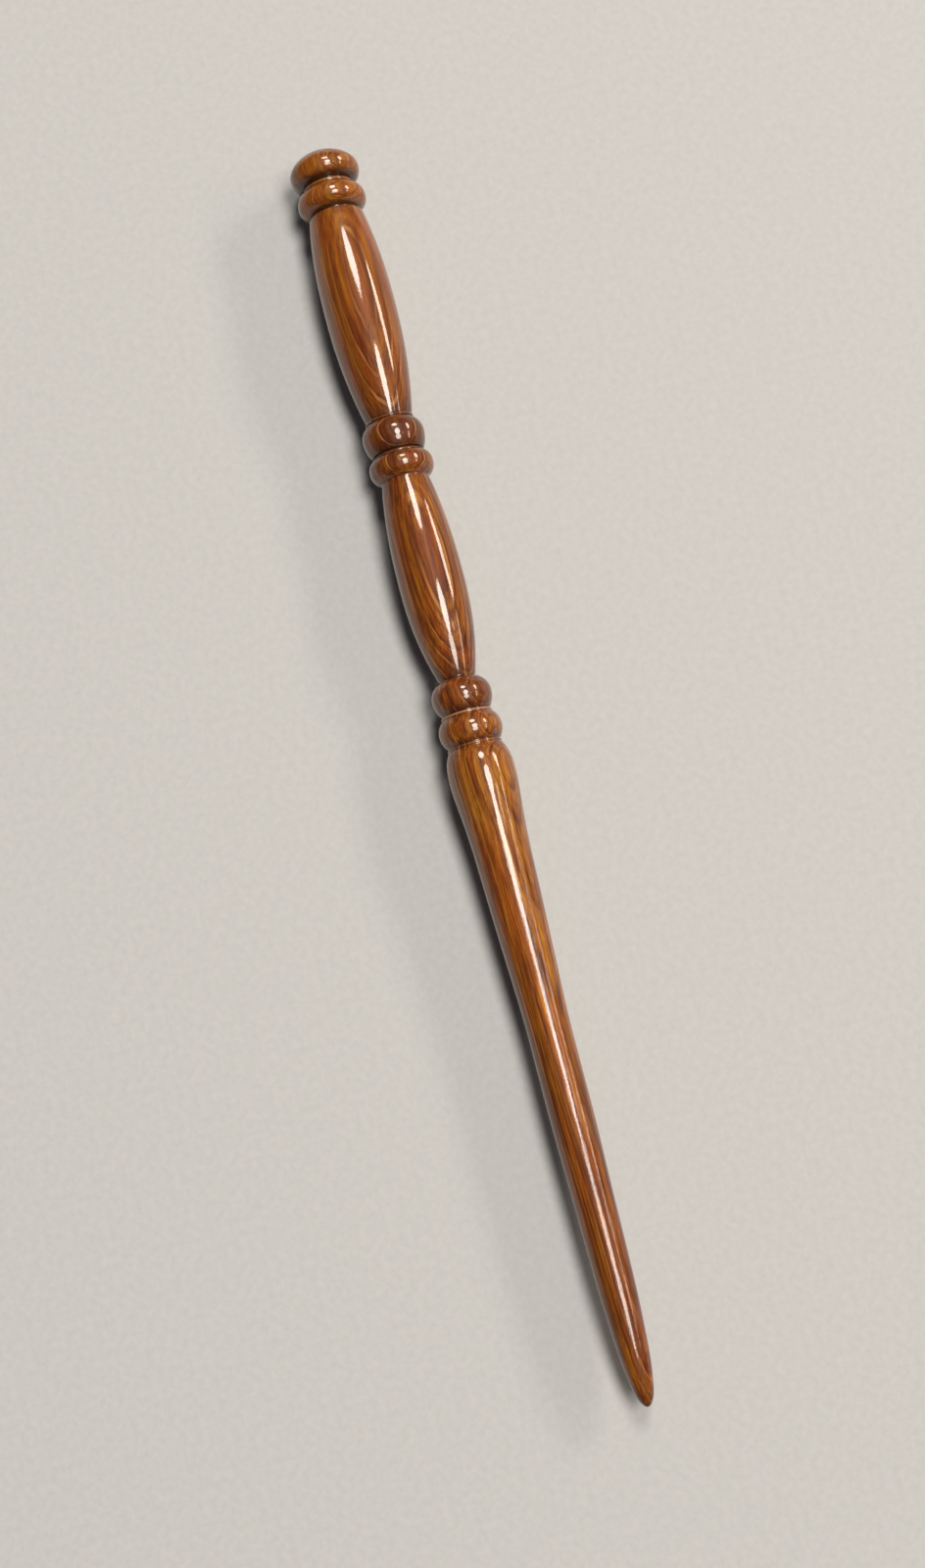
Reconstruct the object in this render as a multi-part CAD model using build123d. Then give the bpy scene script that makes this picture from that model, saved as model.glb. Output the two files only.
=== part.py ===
from build123d import *
import os
from math import cos, pi, sin

# A spindle stick turned from one blank of hardwood, in millimetres.
# It lies on its side along X with the blunt knob end at -X and the working tip at +X.
# The origin is below the middle of the stick, on the surface that it rests on.
# Stations are distances from the knob end along the stick, and radii are from its own axis.

LENGTH = 200.0
DOME_POWER = 1.4        # 1 would make the knob's domed end an ellipse, and more makes it less blunt
DOME_POINTS = 7         # points that carry the knob's domed end
BARREL_POWER = 2.25     # a barrel's radius falls off as this power of the distance from its middle
SHOULDER_POWER = 3.0
FLANK_POWER = 2.8       # of the steeper beads, on their side towards the tip
SWELLING_POINTS = 6     # points that carry each half of a barrel

# Crest of each round feature: station and radius.
KNOB = (3.8, 5.6)
RING_BEAD = (8.7, 5.5)
UPPER_BARREL = (26.7, 5.7)
UPPER_PAIR_FIRST = (48.65, 4.95)
UPPER_PAIR_SECOND = (53.65, 5.1)
LOWER_BARREL = (72.5, 5.15)
LOWER_PAIR_FIRST = (91.3, 4.7)
LOWER_PAIR_SECOND = (96.75, 4.95)
SHOULDER = (104.4, 5.2)

# Floor of each plain groove between them: station and radius.
RING_FOOT = (11.0, 3.6)
LOWER_BARREL_TOP = (56.1, 3.8)
LOWER_BARREL_FOOT = (88.6, 2.85)

# Thin raised fillet left standing in each other groove: its start, its crest and its end.
KNOB_FILLET = [(6.15, 3.85), (6.42, 4.08), (6.7, 3.98)]
BARREL_FILLET = [(45.95, 3.7), (46.18, 3.88), (46.4, 3.7)]
UPPER_PAIR_FILLET = [(51.6, 4.12), (51.92, 4.5), (52.22, 4.42)]
LOWER_PAIR_FILLET = [(94.05, 3.75), (94.28, 4.0), (94.5, 3.93)]
SHAFT_FILLET = [(99.05, 4.08), (99.28, 4.28), (99.5, 4.2)]

# The groove behind the ring bead steps up onto the upper barrel.
BARREL_START = (11.4, 4.4)

# The shaft below its shoulder: a quick taper, a nearly parallel seat for a slip-on whorl, and the point.
UPPER_SHAFT = [(108.3, 4.93), (113.6, 4.5), (121.0, 4.2), (135.5, 3.64)]
WHORL_SEAT_START = 145.0
WHORL_SEAT_END = 155.0
WHORL_SEAT_RADIUS = 3.35
LOWER_SHAFT = [(165.0, 3.18), (175.5, 2.98), (184.0, 2.77), (190.0, 2.45)]
POINT = [(194.0, 2.1), (197.2, 1.58), (199.3, 0.86)]


def dome(crest):
    """From the axis at the knob end up to the knob's crest, as a smooth curve through computed points."""
    turns = [i * pi / 2 / (DOME_POINTS - 1) for i in range(DOME_POINTS)]
    points = [(crest[0] * (1 - cos(t)), crest[1] * sin(t) ** DOME_POWER) for t in turns]
    return Spline(*points, tangents=[(0, 1), (1, 0)])


def bead(start, crest, end):
    """A round bead from one groove to the next, level at its crest."""
    return [TangentArc(crest, start, tangent=(-1, 0)), TangentArc(crest, end, tangent=(1, 0))]


def swelling(crest, foot, power):
    """Half of a barrel from its crest to its foot, as a smooth curve through computed points."""
    span = foot[0] - crest[0]
    fall = crest[1] - foot[1]
    shares = [i / (SWELLING_POINTS - 1) for i in range(SWELLING_POINTS)]
    points = [(crest[0] + span * u, crest[1] - fall * u**power) for u in shares]
    side = 1 if span > 0 else -1
    return Spline(*points, tangents=[(side, 0), (span, -fall * power)])


def full_bead(start, crest, end):
    """A bead whose side towards the tip stays full and then drops steeply."""
    return [TangentArc(crest, start, tangent=(-1, 0)), swelling(crest, end, FLANK_POWER)]


def turned_outline():
    """Every edge of the half outline from the knob end to the tip, above the axis."""
    # Domed knob, whose round back falls to its neck, and the ring bead.
    edges = [dome(KNOB), TangentArc(KNOB, KNOB_FILLET[0], tangent=(1, 0))]
    edges += [ThreePointArc(*KNOB_FILLET), *full_bead(KNOB_FILLET[-1], RING_BEAD, RING_FOOT)]

    # Upper barrel.
    edges += [Line(RING_FOOT, BARREL_START), swelling(UPPER_BARREL, BARREL_START, BARREL_POWER)]
    edges += [swelling(UPPER_BARREL, BARREL_FILLET[0], BARREL_POWER), ThreePointArc(*BARREL_FILLET)]

    # Upper pair of beads, with a broad fillet between them.
    edges += bead(BARREL_FILLET[-1], UPPER_PAIR_FIRST, UPPER_PAIR_FILLET[0])
    edges += [ThreePointArc(*UPPER_PAIR_FILLET)]
    edges += full_bead(UPPER_PAIR_FILLET[-1], UPPER_PAIR_SECOND, LOWER_BARREL_TOP)

    # Lower barrel, which is slimmer at its foot.
    edges += [swelling(LOWER_BARREL, LOWER_BARREL_TOP, BARREL_POWER)]
    edges += [swelling(LOWER_BARREL, LOWER_BARREL_FOOT, BARREL_POWER)]

    # Lower pair of beads, with a thin fillet between them.
    edges += bead(LOWER_BARREL_FOOT, LOWER_PAIR_FIRST, LOWER_PAIR_FILLET[0])
    edges += [ThreePointArc(*LOWER_PAIR_FILLET)]
    edges += bead(LOWER_PAIR_FILLET[-1], LOWER_PAIR_SECOND, SHAFT_FILLET[0])

    # Shaft: rounded shoulder, upper taper, parallel seat, lower taper and blunt point.
    seat_start = (WHORL_SEAT_START, WHORL_SEAT_RADIUS)
    seat_end = (WHORL_SEAT_END, WHORL_SEAT_RADIUS)
    tip = (LENGTH, 0)
    edges += [ThreePointArc(*SHAFT_FILLET), swelling(SHOULDER, SHAFT_FILLET[-1], SHOULDER_POWER)]
    edges.append(Spline(SHOULDER, *UPPER_SHAFT, seat_start, tangents=[(1, 0), (1, 0)]))
    edges.append(Line(seat_start, seat_end))
    edges.append(Spline(seat_end, *LOWER_SHAFT, *POINT, tip, tangents=[(1, 0), (0, -1)]))
    return edges


def turned_stick():
    """The whole stick: the half outline closed along the axis and turned through a full circle."""
    axis_line = Line((LENGTH, 0), (0, 0))
    half_section = make_face([*turned_outline(), axis_line])
    stick = revolve(half_section, axis=Axis.X, revolution_arc=360)
    widest = UPPER_BARREL[1]
    return Pos(-LENGTH / 2, 0, widest) * stick


os.makedirs("parts", exist_ok=True)
stick = turned_stick()
export_step(stick, "parts/turned_stick.step")
print("turned_stick volume mm3", round(stick.volume, 1))
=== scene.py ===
from math import atan2, cos, hypot, pi, radians, sin

import bpy
import numpy as np
from mathutils import Matrix, Vector


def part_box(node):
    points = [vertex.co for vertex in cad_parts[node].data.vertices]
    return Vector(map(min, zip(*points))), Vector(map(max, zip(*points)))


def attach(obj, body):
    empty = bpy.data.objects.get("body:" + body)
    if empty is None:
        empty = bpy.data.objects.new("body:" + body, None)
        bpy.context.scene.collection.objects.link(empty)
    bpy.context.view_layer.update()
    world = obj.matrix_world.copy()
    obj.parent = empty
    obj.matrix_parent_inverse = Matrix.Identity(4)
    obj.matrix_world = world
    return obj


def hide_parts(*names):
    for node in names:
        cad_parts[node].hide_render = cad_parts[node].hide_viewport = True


MM = 0.001                        # metres in a millimetre
MIDDLE = 0.5                      # of a range from 0 to 1

# Camera: nearly overhead, tipped towards the knob end so that the point is nearer the lens.
CAMERA_TIP = radians(8.0)         # between the stick and the picture plane
STICK_TURN = radians(14.63)       # of the stick from upright in the picture
CAMERA_DISTANCE = 298.8 * MM
CAMERA_CLIP = 10.0 * MM           # nothing nearer to the lens than this is drawn
AIM_STATION = 104.44 * MM         # of the aim point, from the knob end
AIM_ASIDE = -3.27 * MM            # of the aim point, from the stick's axis
LENS_MM = 45.0
SENSOR_MM = 36.0

# Stick, in millimetres: stations are distances from the knob end, and radii are from its own axis.
LENGTH = 200.0
DOME_POWER = 1.4                  # 1 would make the knob's end an ellipse, and more makes it less blunt
BARREL_POWER = 2.25               # a barrel's radius falls off as this power of the way from its crest
SHOULDER_POWER = 3.0
FLANK_POWER = 2.8                 # of the steeper beads, on their side towards the tip

# Crest of each round feature: station and radius.
KNOB = (3.8, 5.6)
RING_BEAD = (8.7, 5.5)
UPPER_BARREL = (26.7, 5.7)
UPPER_PAIR_FIRST = (48.65, 4.95)
UPPER_PAIR_SECOND = (53.65, 5.1)
LOWER_BARREL = (72.5, 5.15)
LOWER_PAIR_FIRST = (91.3, 4.7)
LOWER_PAIR_SECOND = (96.75, 4.95)
SHOULDER = (104.4, 5.2)

# Floor of each plain groove between them, and the step up from the first one onto the upper barrel.
RING_FOOT = (11.0, 3.6)
BARREL_START = (11.4, 4.4)
LOWER_BARREL_TOP = (56.1, 3.8)
LOWER_BARREL_FOOT = (88.6, 2.85)

# Thin raised fillet left standing in each other groove: its start, its crest and its end.
KNOB_FILLET = [(6.15, 3.85), (6.42, 4.08), (6.7, 3.98)]
BARREL_FILLET = [(45.95, 3.7), (46.18, 3.88), (46.4, 3.7)]
UPPER_PAIR_FILLET = [(51.6, 4.12), (51.92, 4.5), (52.22, 4.42)]
LOWER_PAIR_FILLET = [(94.05, 3.75), (94.28, 4.0), (94.5, 3.93)]
SHAFT_FILLET = [(99.05, 4.08), (99.28, 4.28), (99.5, 4.2)]

# Shaft below its shoulder: a quick taper, a parallel seat for a slip-on whorl, a slow taper and the point.
UPPER_SHAFT = [(108.3, 4.93), (113.6, 4.5), (121.0, 4.2), (135.5, 3.64)]
WHORL_SEAT = [(145.0, 3.35), (155.0, 3.35)]
LOWER_SHAFT = [(165.0, 3.18), (175.5, 2.98), (184.0, 2.77), (190.0, 2.45)]
POINT = [(194.0, 2.1), (197.2, 1.58), (199.3, 0.86)]

# Mesh: facets around the stick, and the rings of points along it.
SIDES = 192
STEP = 0.16                       # millimetres between rings on long curves
DOME_RINGS = 48
FILLET_RINGS = 14
SEAT_RINGS = 40
LEAST_ARC_RINGS = 6
LEAST_SWELLING_RINGS = 16
LEAST_CURVE_RINGS = 4
LEAST_GAP = 0.004                 # a ring nearer than this to the last one is left out

# How pale each fillet's crest is painted, from 0 to 1: partly wear, and partly a painted glint.
FILLET_WEAR_AND_GLINT = [
    (KNOB_FILLET, 0.5),
    (BARREL_FILLET, 0.12),
    (UPPER_PAIR_FILLET, 0.55),
    (LOWER_PAIR_FILLET, 0.9),
    (SHAFT_FILLET, 0.15),
]
WEAR_AND_GLINT_SPREAD = 1.6                 # 1 would leave only the crest fully pale, and more widens the worn and glinting band

# Grooves that stain and painted shade darken: half the width of the widest, and the depth that is fully
# darkened.
WIDE_GROOVE = (1.6, 0.9)
NARROW_GROOVE = (0.32, 0.13)

# Share of a wide groove's stain and painted shade that lies on its walls, by the way that they face; the
# painted shade is deeper on walls that face the tip, away from the light.
LEVEL_STAIN_AND_SHADE = 0.55                # where the wall is level
SLOPE_STAIN_AND_SHADE = 0.7                 # added for each unit of slope down towards the tip
LEAST_STAIN_AND_SHADE = 0.25
MOST_STAIN_AND_SHADE = 1.3
SLOPE_LEAN = 1e-4                 # millimetres added per point, so that no wall is quite upright

# Growth rings, in millimetres: the stick is cut from far out in the trunk, with its bark side uppermost.
PITH_DISTANCE = 60.0
RING_WIDTH = 0.95
RING_PHASE = 0.05
RUNOUT = 0.025                    # how far the rings climb out of the stick, per millimetre of its length

# The bark side spirals a little along the stick: station and degrees from straight up, towards +Y.
BARK_SIDE = [(0, 44), (6, 40), (15, 14), (50, 14), (82, 15), (93, 48), (120, 50), (200, 50)]
QUARTER_TURN = 90.0               # degrees

# Bends in the rings: swells per millimetre along the stick and across it, and their size in millimetres.
RING_BENDS = [(0.02, 0.12, 1.0), (0.05, 0.45, 0.5), (0.22, 1.6, 0.14)]
BEND_DETAIL = (1.0, 0.5)          # detail and roughness of each

# How strongly the streaks, the fibre and the fine ring lines show: station and share, from 0 to 1.
STREAKINESS = [
    (0, 0.4), (14, 0.36), (42, 0.38), (52, 0.5), (66, 0.6), (84, 0.62),
    (94, 0.66), (112, 0.8), (140, 0.8), (160, 0.66), (200, 0.62),
]

# How light the wood is along the stick: station and tone, from 0 to 1.
TONES = [
    (0, 0.41), (9, 0.58), (26, 0.50), (42, 0.46), (48, 0.27), (56, 0.40), (72, 0.45), (88, 0.45),
    (91, 0.38), (97, 0.56), (112, 0.56), (130, 0.53), (145, 0.46), (185, 0.44), (200, 0.42),
]

# Textures in the wood and the varnish: swells per millimetre along the stick and across it, detail and
# roughness.
STREAKS = (0.04, 1.4, 3.0, 0.65)
CLOUDS = (0.09, 0.3, 2.0, 0.5)
FIBRE = (0.22, 4.4, 3.0, 0.6)
RIPPLES = (2.1, 0.25, 1.5, 0.5)
SWELLS = (0.3, 0.9, 2.0, 0.5)

# Textures that follow the growth rings: swells per millimetre of depth, detail and roughness.
RING_SHIFTS = (0.8, 1.0, 0.5)
RING_SHIFT_SIZE = 1.3             # millimetres between the farthest places that a ring's edge can shift to
FINE_LINES = (3.1, 2.0, 0.6)

# Patchy textures: the texture, then the levels between which it sets in and its shares below and above.
DARK_EDGE_PATCHES = ((0.035, 0.5, 2.0, 0.5), (0.3, 0.6, 0.0, 1.0))
PALE_LINE_PATCHES = ((0.03, 0.7, 1.0, 0.5), (0.36, 0.66, 0.0, 1.0))
RED_PATCHES = ((0.05, 0.6, 2.0, 0.5), (0.42, 0.66, 0.0, 0.55))
PORES = ((0.6, 7.0, 1.0, 0.4), (0.64, 0.73, 0.0, 1.0))
WEAR_AND_GLINT_PATCHES = ((0.8, 0.5, 2.0, 0.6), (0.3, 0.6, 0.35, 1.0))

# Lines on each ring: the parts of its width between which they change, and their shares before and after.
DARK_EDGE = (0.0, 0.32, 1.0, 0.0)
PALE_LINE_START = (0.77, 0.85, 0.0, 1.0)
PALE_LINE_END = (0.92, 0.985, 1.0, 0.0)

# What changes along the stick: the stations between which it changes, and its shares before and after.
RING_LINES_ALONG = (102.0, 120.0, 1.0, 0.4)
COAT_RIPPLES_ALONG = (100.0, 112.0, 0.25, 1.0)
COAT_FIBRE_ALONG = (101.0, 125.0, 0.1, 1.4)
POINT_STAIN_ALONG = (196.5, 199.8, 0.0, 0.45)

# How much each texture changes the tone between its darkest and its lightest.
DARK_EDGE_TONE = -0.2
CLOUD_TONE = 0.45
STREAK_TONE = 1.9                 # this and the next two at full streakiness
FIBRE_TONE = 1.2
FINE_LINE_TONE = 1.1

# Colours of the wood, from its darkest tone to its lightest.
WOOD_COLOURS = [
    (0.08, (0.06, 0.011, 0.0005)),
    (0.32, (0.118, 0.027, 0.0008)),
    (0.52, (0.20, 0.057, 0.0014)),
    (0.72, (0.29, 0.102, 0.004)),
    (0.95, (0.42, 0.175, 0.016)),
]
RED_TINT = (1.12, 0.70, 0.75, 1)  # multiplies the wood's colour in its redder patches
PALE_LINE_COLOUR = (0.47, 0.215, 0.06, 1)
PORE_COLOUR = (0.035, 0.007, 0.001, 1)
# Pale colour of the fillets' crests: worn wood and a painted glint.
WORN_AND_GLINT_COLOUR = (0.4, 0.185, 0.09, 1)
# Dark colour of the stain and painted shade in the grooves, and of the stain in the point's end grain.
STAIN_AND_SHADE_COLOUR = (0.022, 0.0035, 0.001, 1)

# How far the pale lines, the pores, and the stain with its painted shade cover the wood at their
# strongest.
PALE_LINE_COVER = 0.62
PORE_COVER = 0.5
STAIN_AND_SHADE_COVER = 0.88
STAIN_AND_SHADE_OFF_RIDGES = 0.9              # share of the groove stain and painted shade that is left off a fillet's crest

# Wood surface under the varnish: it rises with the fibre and sinks at the pores.
WOOD_RELIEF = 0.05 * MM
WOOD_RELIEF_STRENGTH = 0.35
FIBRE_RELIEF = 0.5
PORE_RELIEF = -1.0
WOOD_ROUGHNESS = 0.45
WOOD_SPECULAR = 0.2

# Varnish surface.
COAT_RELIEF = 0.01 * MM
COAT_RELIEF_STRENGTH = 1.0
RIPPLE_RELIEF = 0.5
SWELL_RELIEF = 1.2
COAT_WEIGHT = 1.0
COAT_ROUGHNESS = 0.07
COAT_IOR = 1.5

# Floor: matt card with a very faint fibre.
FLOOR_HALF = 4.0                  # metres from its middle to each edge
FLOOR_FIBRE = (3.0, 0.6, 900.0)   # detail, roughness and swells per metre
FLOOR_COLOURS = [(0.3, (0.43, 0.445, 0.46)), (0.7, (0.47, 0.485, 0.50))]
FLOOR_RELIEF = 0.1 * MM
FLOOR_RELIEF_STRENGTH = 0.15
FLOOR_ROUGHNESS = 0.9

# Lamps: direction from the stick, size in metres along and across it, watts and colour of each softbox.
LAMP_DISTANCE = 2.4               # metres from the floor below the middle of the stick
WARM = (1.0, 0.92, 0.82)
PEACH = (1.0, 0.85, 0.69)
LAMPS = {
    "key_far": ((-0.53, 0.2, 0.82), (0.72, 0.7), 25.0, WARM),
    "key_near": ((-0.06, 0.31, 0.95), (0.8, 0.75), 30.0, WARM),
    "key_low": ((0.23, 0.3, 0.93), (0.66, 0.8), 19.0, WARM),
    "side_far": ((-0.31, 0.83, 0.46), (0.92, 0.4), 16.5, PEACH),
    "side_near": ((0.13, 0.86, 0.5), (0.9, 0.28), 5.0, PEACH),
    "side_small": ((0.05, 0.6, 0.8), (0.18, 0.18), 0.6, PEACH),
}
ROOM_COLOUR = (0.93, 0.95, 1.0, 1)
ROOM_STRENGTH = 0.07

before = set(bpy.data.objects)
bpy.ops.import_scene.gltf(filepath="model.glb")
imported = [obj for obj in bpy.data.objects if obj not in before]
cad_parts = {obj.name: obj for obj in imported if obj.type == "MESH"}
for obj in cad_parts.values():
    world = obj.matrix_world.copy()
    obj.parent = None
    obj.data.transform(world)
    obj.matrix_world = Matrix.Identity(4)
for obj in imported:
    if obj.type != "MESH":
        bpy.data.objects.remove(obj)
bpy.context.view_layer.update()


def make_camera(knob_x, axis_height):
    """Looks down at the stick so that it lies as it should in the picture."""
    back = Vector((sin(CAMERA_TIP), 0, cos(CAMERA_TIP)))
    along = Vector((cos(CAMERA_TIP), 0, -sin(CAMERA_TIP)))
    across = Vector((0, 1, 0))
    right = along * sin(STICK_TURN) + across * cos(STICK_TURN)
    up = across * sin(STICK_TURN) - along * cos(STICK_TURN)
    aim = Vector((knob_x + AIM_STATION, AIM_ASIDE, axis_height))
    camera = bpy.data.objects.new("camera", bpy.data.cameras.new("camera"))
    camera.data.lens = LENS_MM
    camera.data.sensor_width = SENSOR_MM
    camera.data.clip_start = CAMERA_CLIP
    rotation = Matrix((right, up, back)).transposed().to_4x4()
    camera.matrix_world = Matrix.Translation(aim + back * CAMERA_DISTANCE) @ rotation
    bpy.context.scene.collection.objects.link(camera)
    bpy.context.scene.camera = camera


def ring_count(length, least):
    """How many rings of points a curve of this length takes."""
    return max(least, int(length / STEP))


def arc(crest, edge):
    """From a crest, where it is level, round to an edge point, as a circle."""
    span = abs(edge[0] - crest[0])
    fall = crest[1] - edge[1]
    radius = (span**2 + fall**2) / (2 * fall)
    turn = 2 * atan2(fall, span)
    side = 1 if edge[0] > crest[0] else -1
    turns = np.linspace(0, turn, ring_count(radius * turn, LEAST_ARC_RINGS))
    return [(crest[0] + side * radius * sin(t), crest[1] - radius * (1 - cos(t))) for t in turns]


def bead(start, crest, end):
    """A round bead from one groove to the next, level at its crest."""
    return arc(crest, start)[::-1] + arc(crest, end)


def fillet(start, crest, end):
    """The circle arc through three points."""
    (ax, ay), (bx, by), (cx, cy) = start, crest, end
    a, b, c = ax**2 + ay**2, bx**2 + by**2, cx**2 + cy**2
    scale = 2 * (ax * (by - cy) + bx * (cy - ay) + cx * (ay - by))
    x = (a * (by - cy) + b * (cy - ay) + c * (ay - by)) / scale
    y = (a * (cx - bx) + b * (ax - cx) + c * (bx - ax)) / scale
    radius = hypot(ax - x, ay - y)
    turns = np.linspace(atan2(ay - y, ax - x), atan2(cy - y, cx - x), FILLET_RINGS)
    return [(x + radius * cos(t), y + radius * sin(t)) for t in turns]


def swelling(crest, foot, power):
    """Half of a barrel from its crest to its foot."""
    span = foot[0] - crest[0]
    fall = crest[1] - foot[1]
    shares = np.linspace(0, 1, ring_count(abs(span), LEAST_SWELLING_RINGS))
    return [(crest[0] + span * u, crest[1] - fall * u**power) for u in shares]


def full_bead(start, crest, end):
    """A bead whose side towards the tip stays full and then drops steeply."""
    return arc(crest, start)[::-1] + swelling(crest, end, FLANK_POWER)


def dome(crest):
    """From the axis at the knob end up to the knob's crest."""
    turns = np.linspace(0, pi / 2, DOME_RINGS)
    return [(crest[0] * (1 - cos(t)), crest[1] * sin(t) ** DOME_POWER) for t in turns]


def spline_slopes(places, gaps, start, end):
    """Direction of a smooth curve at each of its points, with the given directions at its ends."""
    count = len(places)
    matrix = np.eye(count)
    target = np.zeros((count, 2))
    target[0] = np.array(start) / hypot(*start)
    target[-1] = np.array(end) / hypot(*end)
    for i in range(1, count - 1):
        before, after = gaps[i - 1], gaps[i]
        matrix[i, i - 1:i + 2] = after, 2 * (before + after), before
        way_in = places[i] - places[i - 1]
        way_out = places[i + 1] - places[i]
        target[i] = 3 * (after / before * way_in + before / after * way_out)
    return np.linalg.solve(matrix, target)


def smooth_curve(points, start, end):
    """A cubic spline through points, with the given directions at its ends."""
    places = np.array(points)
    gaps = np.linalg.norm(np.diff(places, axis=0), axis=1)
    slopes = spline_slopes(places, gaps, start, end)
    curve = []
    for i, gap in enumerate(gaps):
        for u in np.linspace(0, 1, ring_count(gap, LEAST_CURVE_RINGS), endpoint=False):
            curve.append(
                (2 * u**3 - 3 * u**2 + 1) * places[i] + (u**3 - 2 * u**2 + u) * gap * slopes[i]
                + (3 * u**2 - 2 * u**3) * places[i + 1] + (u**3 - u**2) * gap * slopes[i + 1]
            )
    return [tuple(place) for place in curve] + [tuple(points[-1])]


def turned_outline():
    """Points of the whole half outline, from the knob end to the tip."""
    (seat_start, seat_radius), (seat_end, _) = WHORL_SEAT
    parts = [
        dome(KNOB),
        arc(KNOB, KNOB_FILLET[0]),
        fillet(*KNOB_FILLET),
        full_bead(KNOB_FILLET[-1], RING_BEAD, RING_FOOT),
        swelling(UPPER_BARREL, BARREL_START, BARREL_POWER)[::-1],
        swelling(UPPER_BARREL, BARREL_FILLET[0], BARREL_POWER),
        fillet(*BARREL_FILLET),
        bead(BARREL_FILLET[-1], UPPER_PAIR_FIRST, UPPER_PAIR_FILLET[0]),
        fillet(*UPPER_PAIR_FILLET),
        full_bead(UPPER_PAIR_FILLET[-1], UPPER_PAIR_SECOND, LOWER_BARREL_TOP),
        swelling(LOWER_BARREL, LOWER_BARREL_TOP, BARREL_POWER)[::-1],
        swelling(LOWER_BARREL, LOWER_BARREL_FOOT, BARREL_POWER),
        bead(LOWER_BARREL_FOOT, LOWER_PAIR_FIRST, LOWER_PAIR_FILLET[0]),
        fillet(*LOWER_PAIR_FILLET),
        bead(LOWER_PAIR_FILLET[-1], LOWER_PAIR_SECOND, SHAFT_FILLET[0]),
        fillet(*SHAFT_FILLET),
        swelling(SHOULDER, SHAFT_FILLET[-1], SHOULDER_POWER)[::-1],
        smooth_curve([SHOULDER, *UPPER_SHAFT, WHORL_SEAT[0]], (1, 0), (1, 0)),
        [(station, seat_radius) for station in np.linspace(seat_start, seat_end, SEAT_RINGS)],
        smooth_curve([WHORL_SEAT[1], *LOWER_SHAFT, *POINT, (LENGTH, 0)], (1, 0), (0, -1)),
    ]
    points = [parts[0][0]]
    for part in parts:
        for point in part:
            if hypot(point[0] - points[-1][0], point[1] - points[-1][1]) > LEAST_GAP:
                points.append(point)
    return np.array(points)


def closed(points, reach):
    """The outline's radii with every groove narrower than twice the reach filled in."""
    near = np.abs(points[:, 0][:, None] - points[:, 0][None, :]) <= reach
    widened = np.where(near, points[:, 1][None, :], -np.inf).max(axis=1)
    return np.where(near, widened[None, :], np.inf).min(axis=1)


def sunken(points, reach, full_depth):
    """How far each outline point is sunk in a groove narrower than twice the reach, from 0 to 1."""
    return np.clip((closed(points, reach) - points[:, 1]) / full_depth, 0, 1)


def groove_shade(points):
    """How much stain and painted shade each outline point takes, from 0 to 1.

    It is most in the narrowest grooves, and on the sides of beads that face the tip, where the painted
    shade stands in for the shade that falls there.
    """
    slope = np.gradient(points[:, 1], points[:, 0] + SLOPE_LEAN * np.arange(len(points)))
    towards_tip = np.clip(LEVEL_STAIN_AND_SHADE - SLOPE_STAIN_AND_SHADE * slope, LEAST_STAIN_AND_SHADE, MOST_STAIN_AND_SHADE)
    wide = sunken(points, *WIDE_GROOVE)
    narrow = sunken(points, *NARROW_GROOVE)
    return np.clip(np.maximum(wide * towards_tip, narrow), 0, 1)


def ridge_wear_and_glint(points):
    """How pale each outline point is painted, as wear and a painted glint: most on the crest of a thin
    fillet, and none off the fillets.
    """
    shade = np.zeros(len(points))
    for (_, crest, end), wear in FILLET_WEAR_AND_GLINT:
        nearness = 1 - np.abs(points[:, 0] - crest[0]) / (end[0] - crest[0])
        shade = np.maximum(shade, wear * np.clip(WEAR_AND_GLINT_SPREAD * nearness, 0, 1))
    return shade


def turned_points(rings, knob_x, axis_height):
    """Corners of the turned surface, in metres: those of each ring, then the knob's end and the tip."""
    stations = np.repeat(rings[:, 0], SIDES)
    radii = np.repeat(rings[:, 1], SIDES)
    turns = np.tile(np.linspace(0, 2 * pi, SIDES, endpoint=False), len(rings))
    x = knob_x + stations * MM
    y = radii * MM * np.sin(turns)
    z = axis_height + radii * MM * np.cos(turns)
    ends = np.array([[knob_x, 0, axis_height], [knob_x + LENGTH * MM, 0, axis_height]])
    return np.concatenate([np.stack([x, y, z], 1), ends])


def turned_faces(rings):
    """Four-sided faces between neighbouring rings, and a fan of triangles at each end."""
    faces = []
    for i in range(len(rings) - 1):
        for j in range(SIDES):
            k = (j + 1) % SIDES
            faces.append((i * SIDES + j, (i + 1) * SIDES + j, (i + 1) * SIDES + k, i * SIDES + k))
    last_ring = (len(rings) - 1) * SIDES
    knob_end = last_ring + SIDES
    tip = knob_end + 1
    for j in range(SIDES):
        k = (j + 1) % SIDES
        faces.append((knob_end, j, k))
        faces.append((tip, last_ring + k, last_ring + j))
    return faces


def turned_mesh(knob_x, axis_height):
    """The stick as a lathe turns it, in metres in the frame, with its groove stain and painted shade, and
    its fillets' wear and painted glint, as attributes.
    """
    outline = turned_outline()
    rings = outline[1:-1]
    mesh = bpy.data.meshes.new("spindle_stick")
    mesh.from_pydata(turned_points(rings, knob_x, axis_height).tolist(), [], turned_faces(rings))
    mesh.shade_smooth()
    for name, shade in (("groove", groove_shade(outline)), ("ridge", ridge_wear_and_glint(outline))):
        values = np.concatenate([np.repeat(shade[1:-1], SIDES), [0.0, 0.0]])
        attribute = mesh.attributes.new(name, "FLOAT", "POINT")
        attribute.data.foreach_set("value", values.astype(np.float32))
    mesh.update()
    return mesh


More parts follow.
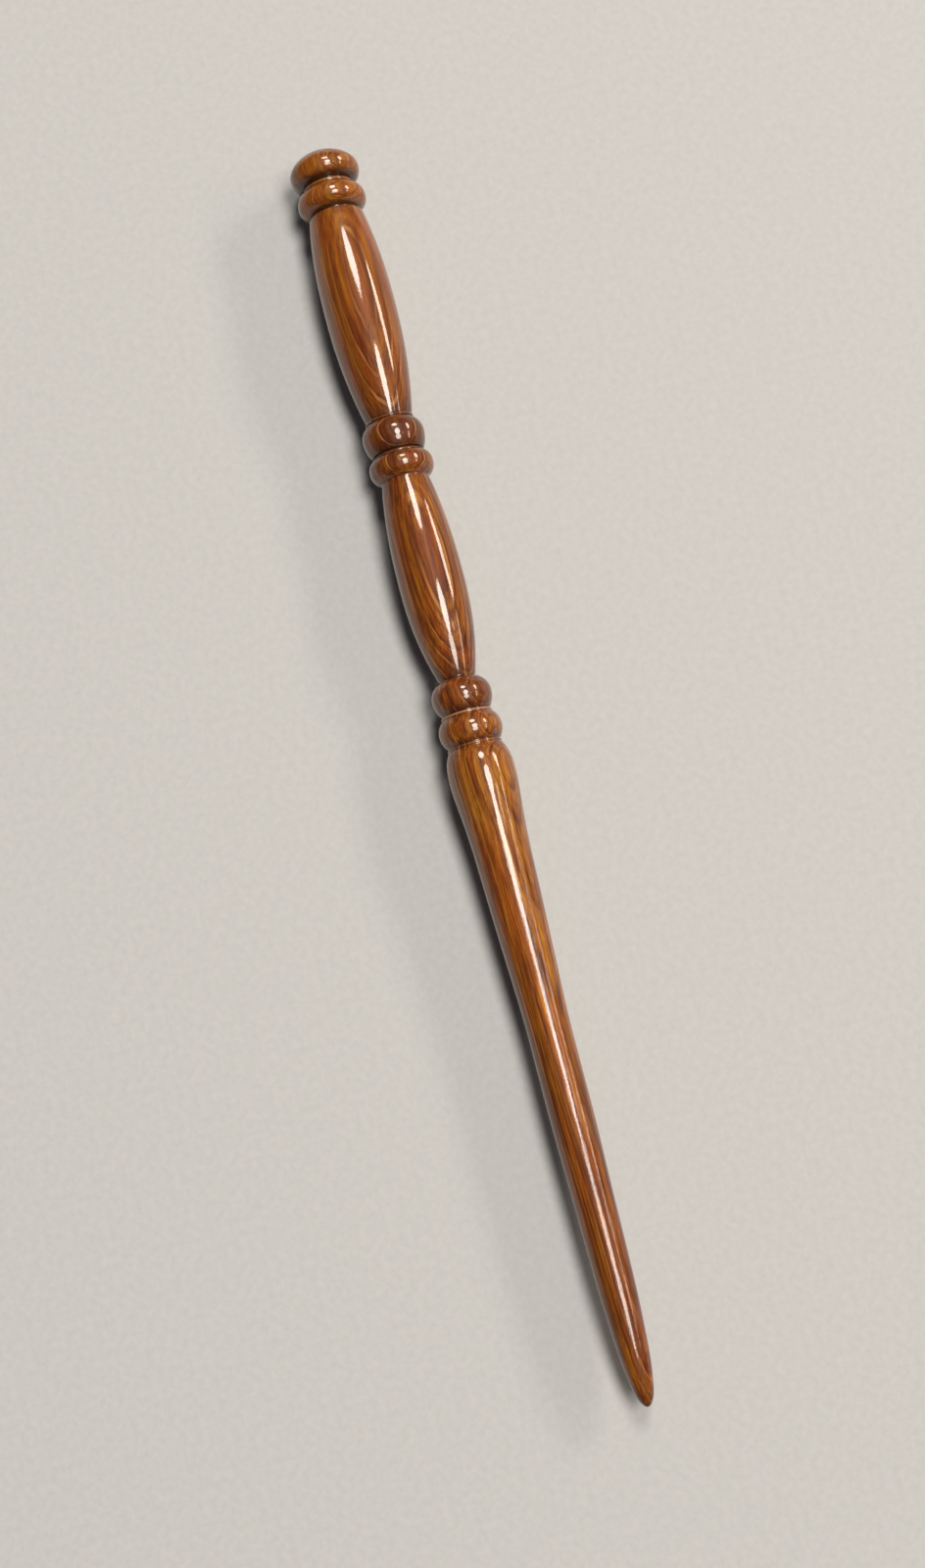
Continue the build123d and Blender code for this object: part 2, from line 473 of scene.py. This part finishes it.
class Nodes:
    """Short calls for building one material's node tree."""

    def __init__(self, name):
        self.material = bpy.data.materials.new(name)
        self.material.use_nodes = True
        self.tree = self.material.node_tree
        self.tree.nodes.clear()

    def feed(self, socket, value):
        """Links the socket to another node's output, or sets it to a constant."""
        if isinstance(value, bpy.types.NodeSocket):
            self.tree.links.new(value, socket)
        else:
            socket.default_value = value

    def add(self, kind, **inputs):
        """A new node with its inputs fed by name, where an underscore stands for a space."""
        node = self.tree.nodes.new("ShaderNode" + kind)
        for name, value in inputs.items():
            self.feed(node.inputs[name.replace("_", " ")], value)
        return node

    def attribute(self, name):
        """A value that the mesh carries at each of its points."""
        node = self.add("Attribute")
        node.attribute_name = name
        return node.outputs["Fac"]

    def math(self, operation, a, b=0.0, c=0.0):
        """One step of arithmetic."""
        node = self.add("Math")
        node.operation = operation
        for socket, value in zip(node.inputs, (a, b, c)):
            self.feed(socket, value)
        return node.outputs[0]

    def remap(self, value, low, high, to_low, to_high):
        """Goes smoothly from one share to another while a value goes from low to high."""
        node = self.add("MapRange")
        node.interpolation_type = "SMOOTHSTEP"
        names = ("Value", "From Min", "From Max", "To Min", "To Max")
        for name, setting in zip(names, (value, low, high, to_low, to_high)):
            self.feed(node.inputs[name], setting)
        return node.outputs[0]

    def mix(self, factor, a, b, blend="MIX"):
        """Goes from colour a to colour b, or to the two blended, as the factor goes from 0 to 1."""
        node = self.add("Mix")
        node.data_type = "RGBA"
        node.blend_type = blend
        # Colours are the node's inputs 6 and 7 and its output 2, after those for plain values and vectors.
        for place, value in ((0, factor), (6, a), (7, b)):
            self.feed(node.inputs[place], value)
        return node.outputs[2]

    def ramp(self, value, stops):
        """The colour that a list of places and colours gives for a value."""
        node = self.add("ValToRGB")
        self.feed(node.inputs[0], value)
        elements = node.color_ramp.elements
        while len(elements) < len(stops):
            elements.new(MIDDLE)
        for element, (place, colour) in zip(elements, stops):
            element.position = place
            element.color = (*colour, 1)
        return node.outputs[0]

    def noise(self, place, detail, roughness, scale):
        """Soft random values from 0 to 1 in space."""
        node = self.add("TexNoise", Vector=place, Scale=scale, Detail=detail, Roughness=roughness)
        return node.outputs[0]

    def grain(self, place, along, across, detail, roughness):
        """Noise with so many swells per millimetre along the stick and across it."""
        node = self.add("Mapping", Vector=place)
        node.inputs["Scale"].default_value = (along / MM, across / MM, across / MM)
        return self.noise(node.outputs[0], detail, roughness, 1.0)

    def patches(self, place, grain, levels):
        """A grain that shows in patches, where it rises above a level."""
        return self.remap(self.grain(place, *grain), *levels)

    def layers(self, depth, scale, detail, roughness):
        """Noise that changes only with a depth."""
        node = self.add("TexNoise")
        node.noise_dimensions = "1D"
        self.feed(node.inputs["W"], depth)
        node.inputs["Scale"].default_value = scale
        node.inputs["Detail"].default_value = detail
        node.inputs["Roughness"].default_value = roughness
        return node.outputs[0]

    def drift(self, station, stops):
        """A value that changes smoothly along the stick, through the given stations."""
        node = self.add("FloatCurve", Value=self.math("DIVIDE", station, LENGTH))
        points = node.mapping.curves[0].points
        while len(points) < len(stops):
            points.new(MIDDLE, MIDDLE)
        for point, (place, value) in zip(points, stops):
            point.location = (place / LENGTH, value)
        node.mapping.update()
        return node.outputs[0]

    def vary(self, value, texture, size):
        """A value made larger or smaller by a texture, which leaves it alone at its middle level."""
        return self.math("MULTIPLY_ADD", self.math("SUBTRACT", texture, MIDDLE), size, value)

    def bump(self, height, distance, strength):
        """The surface's direction once it is raised by the height, where 1 raises it by the distance."""
        return self.add("Bump", Strength=strength, Distance=distance, Height=height).outputs[0]

    def finish(self, shader):
        """Shows the shader on the material's surface."""
        self.add("OutputMaterial", Surface=shader.outputs[0])
        return self.material


def stick_place(nodes, place, knob_x, axis_height):
    """Millimetres from the knob end along the stick, and from its axis towards +Y and up."""
    split = nodes.add("SeparateXYZ", Vector=place)
    x = nodes.math("MULTIPLY", nodes.math("SUBTRACT", split.outputs[0], knob_x), 1 / MM)
    y = nodes.math("MULTIPLY", split.outputs[1], 1 / MM)
    z = nodes.math("MULTIPLY", nodes.math("SUBTRACT", split.outputs[2], axis_height), 1 / MM)
    return x, y, z


def ring_depth(nodes, place, x, y, z):
    """Distance towards the bark in millimetres, bent by slow, middling and fine noise."""
    quarter_turns = nodes.drift(x, [(station, degrees / QUARTER_TURN) for station, degrees in BARK_SIDE])
    turn = nodes.math("MULTIPLY", quarter_turns, pi / 2)
    pith_y = nodes.math("MULTIPLY_ADD", nodes.math("SINE", turn), PITH_DISTANCE, y)
    pith_z = nodes.math("MULTIPLY_ADD", nodes.math("COSINE", turn), PITH_DISTANCE, z)
    y_squared = nodes.math("MULTIPLY", pith_y, pith_y)
    z_squared = nodes.math("MULTIPLY", pith_z, pith_z)
    from_pith = nodes.math("SQRT", nodes.math("ADD", y_squared, z_squared))
    depth = nodes.math("SUBTRACT", from_pith, PITH_DISTANCE + RING_PHASE)
    depth = nodes.math("SUBTRACT", depth, nodes.math("MULTIPLY", x, RUNOUT))
    for along, across, size in RING_BENDS:
        depth = nodes.vary(depth, nodes.grain(place, along, across, *BEND_DETAIL), size)
    return depth


def ring_lines(nodes, place, x, depth):
    """The dark inner edge of each growth ring and the thin pale line that it ends in, from 0 to 1."""
    uneven_depth = nodes.vary(depth, nodes.layers(depth, *RING_SHIFTS), RING_SHIFT_SIZE)
    share = nodes.math("FRACT", nodes.math("DIVIDE", uneven_depth, RING_WIDTH))
    along = nodes.remap(x, *RING_LINES_ALONG)

    edge = nodes.remap(share, *DARK_EDGE)
    dark_edge = nodes.math("MULTIPLY", edge, nodes.patches(place, *DARK_EDGE_PATCHES))
    dark_edge = nodes.math("MULTIPLY", dark_edge, along)

    line = nodes.math("MULTIPLY", nodes.remap(share, *PALE_LINE_START), nodes.remap(share, *PALE_LINE_END))
    strength = nodes.math("MULTIPLY", nodes.patches(place, *PALE_LINE_PATCHES), along)
    return dark_edge, nodes.math("MULTIPLY", line, strength)


def wood_colour(nodes, place, x, depth, dark_edge, fibre):
    """Brown wood whose streaks and cloudy patches run along the stick, whatever the rings do."""
    streakiness = nodes.drift(x, STREAKINESS)
    textures = [
        (nodes.grain(place, *STREAKS), nodes.math("MULTIPLY", streakiness, STREAK_TONE)),
        (nodes.grain(place, *CLOUDS), CLOUD_TONE),
        (fibre, nodes.math("MULTIPLY", streakiness, FIBRE_TONE)),
        (nodes.layers(depth, *FINE_LINES), nodes.math("MULTIPLY", streakiness, FINE_LINE_TONE)),
    ]
    tone = nodes.math("MULTIPLY_ADD", dark_edge, DARK_EDGE_TONE, nodes.drift(x, TONES))
    for texture, size in textures:
        tone = nodes.vary(tone, texture, size)
    colour = nodes.ramp(tone, WOOD_COLOURS)
    redder = nodes.mix(1.0, colour, RED_TINT, "MULTIPLY")
    return nodes.mix(nodes.patches(place, *RED_PATCHES), colour, redder)


def wear_glint_stain_and_shade(nodes, place, x, colour):
    """The thin fillets are painted pale, partly as wear and partly as a painted glint; stain and painted
    shade darken the grooves, and stain darkens the point's end grain.
    """
    ridge = nodes.attribute("ridge")
    # Fillet crests are painted pale: partly wear, partly a painted glint.
    worn_and_glint = nodes.math("MULTIPLY", ridge, nodes.patches(place, *WEAR_AND_GLINT_PATCHES))
    colour = nodes.mix(worn_and_glint, colour, WORN_AND_GLINT_COLOUR)
    # The groove attribute darkens the wood with stain and with painted shade where shade falls in the
    # grooves.
    gathered_stain_and_shade = nodes.math("MULTIPLY", nodes.attribute("groove"), STAIN_AND_SHADE_COVER)
    stain_and_shade_left_on = nodes.math("SUBTRACT", 1.0, nodes.math("MULTIPLY", ridge, STAIN_AND_SHADE_OFF_RIDGES))
    stain_and_shade = nodes.math("MULTIPLY", gathered_stain_and_shade, stain_and_shade_left_on)
    stain_and_shade = nodes.math("MAXIMUM", stain_and_shade, nodes.remap(x, *POINT_STAIN_ALONG))
    return nodes.mix(stain_and_shade, colour, STAIN_AND_SHADE_COLOUR)


def varnish_surface(nodes, place, x, fibre):
    """The varnish follows fine ripples from the turning tool, slow swells and, on the shaft, the fibre."""
    ripples = nodes.math("MULTIPLY", nodes.grain(place, *RIPPLES), nodes.remap(x, *COAT_RIPPLES_ALONG))
    swells = nodes.math("MULTIPLY", nodes.grain(place, *SWELLS), SWELL_RELIEF)
    height = nodes.math("MULTIPLY_ADD", ripples, RIPPLE_RELIEF, swells)
    height = nodes.math("MULTIPLY_ADD", fibre, nodes.remap(x, *COAT_FIBRE_ALONG), height)
    return nodes.bump(height, COAT_RELIEF, COAT_RELIEF_STRENGTH)


def varnished_hardwood(knob_x, axis_height):
    """Golden brown ring-patterned wood, cut as a solid, under a thick gloss varnish."""
    nodes = Nodes("varnished_hardwood")
    place = nodes.add("TexCoord").outputs["Object"]
    x, y, z = stick_place(nodes, place, knob_x, axis_height)
    depth = ring_depth(nodes, place, x, y, z)
    dark_edge, pale_line = ring_lines(nodes, place, x, depth)
    fibre = nodes.grain(place, *FIBRE)
    pore = nodes.patches(place, *PORES)

    colour = wood_colour(nodes, place, x, depth, dark_edge, fibre)
    colour = nodes.mix(nodes.math("MULTIPLY", pale_line, PALE_LINE_COVER), colour, PALE_LINE_COLOUR)
    colour = nodes.mix(nodes.math("MULTIPLY", pore, PORE_COVER), colour, PORE_COLOUR)
    colour = wear_glint_stain_and_shade(nodes, place, x, colour)

    sunk_pore = nodes.math("MULTIPLY", pore, PORE_RELIEF)
    height = nodes.math("MULTIPLY_ADD", fibre, FIBRE_RELIEF, sunk_pore)
    wood_bump = nodes.bump(height, WOOD_RELIEF, WOOD_RELIEF_STRENGTH)
    shader = nodes.add("BsdfPrincipled", Base_Color=colour, Normal=wood_bump)
    shader.inputs["Roughness"].default_value = WOOD_ROUGHNESS
    shader.inputs["Specular IOR Level"].default_value = WOOD_SPECULAR
    shader.inputs["Coat Weight"].default_value = COAT_WEIGHT
    shader.inputs["Coat Roughness"].default_value = COAT_ROUGHNESS
    shader.inputs["Coat IOR"].default_value = COAT_IOR
    nodes.feed(shader.inputs["Coat Normal"], varnish_surface(nodes, place, x, fibre))
    return nodes.finish(shader)


def pale_floor():
    """Matt off-white card, with a very faint fibre."""
    nodes = Nodes("pale_floor")
    fibre = nodes.noise(nodes.add("TexCoord").outputs["Object"], *FLOOR_FIBRE)
    bump = nodes.bump(fibre, FLOOR_RELIEF, FLOOR_RELIEF_STRENGTH)
    shader = nodes.add("BsdfPrincipled", Base_Color=nodes.ramp(fibre, FLOOR_COLOURS), Normal=bump)
    shader.inputs["Roughness"].default_value = FLOOR_ROUGHNESS
    return nodes.finish(shader)


def make_floor():
    """A wide floor at the height that the stick rests on."""
    signs = [(-1, -1), (1, -1), (1, 1), (-1, 1)]
    corners = [(x * FLOOR_HALF, y * FLOOR_HALF, 0) for x, y in signs]
    mesh = bpy.data.meshes.new("floor")
    mesh.from_pydata(corners, [], [(0, 1, 2, 3)])
    mesh.materials.append(pale_floor())
    floor = bpy.data.objects.new("floor", mesh)
    bpy.context.scene.collection.objects.link(floor)


def make_lights():
    """Oval softboxes overhead and to one side, in a dim, even room."""
    for name, (direction, size, power, colour) in LAMPS.items():
        data = bpy.data.lights.new(name, "AREA")
        data.shape = "ELLIPSE"
        data.size, data.size_y = size
        data.energy = power
        data.color = colour
        lamp = bpy.data.objects.new(name, data)
        away = Vector(direction).normalized()
        across = away.cross((1, 0, 0)).normalized()
        rotation = Matrix((across.cross(away), across, away)).transposed().to_4x4()
        lamp.matrix_world = Matrix.Translation(away * LAMP_DISTANCE) @ rotation
        bpy.context.scene.collection.objects.link(lamp)
    world = bpy.data.worlds.new("room")
    world.use_nodes = True
    background = world.node_tree.nodes["Background"]
    background.inputs["Color"].default_value = ROOM_COLOUR
    background.inputs["Strength"].default_value = ROOM_STRENGTH
    bpy.context.scene.world = world


low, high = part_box("turned_stick")
knob_x = low.x
axis_height = (low.z + high.z) / 2

make_camera(knob_x, axis_height)
bpy.context.scene.view_settings.view_transform = "Standard"
stick = bpy.data.objects.new("spindle_stick", turned_mesh(knob_x, axis_height))
stick.data.materials.append(varnished_hardwood(knob_x, axis_height))
bpy.context.scene.collection.objects.link(stick)
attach(stick, "root")
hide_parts("turned_stick")
make_floor()
make_lights()
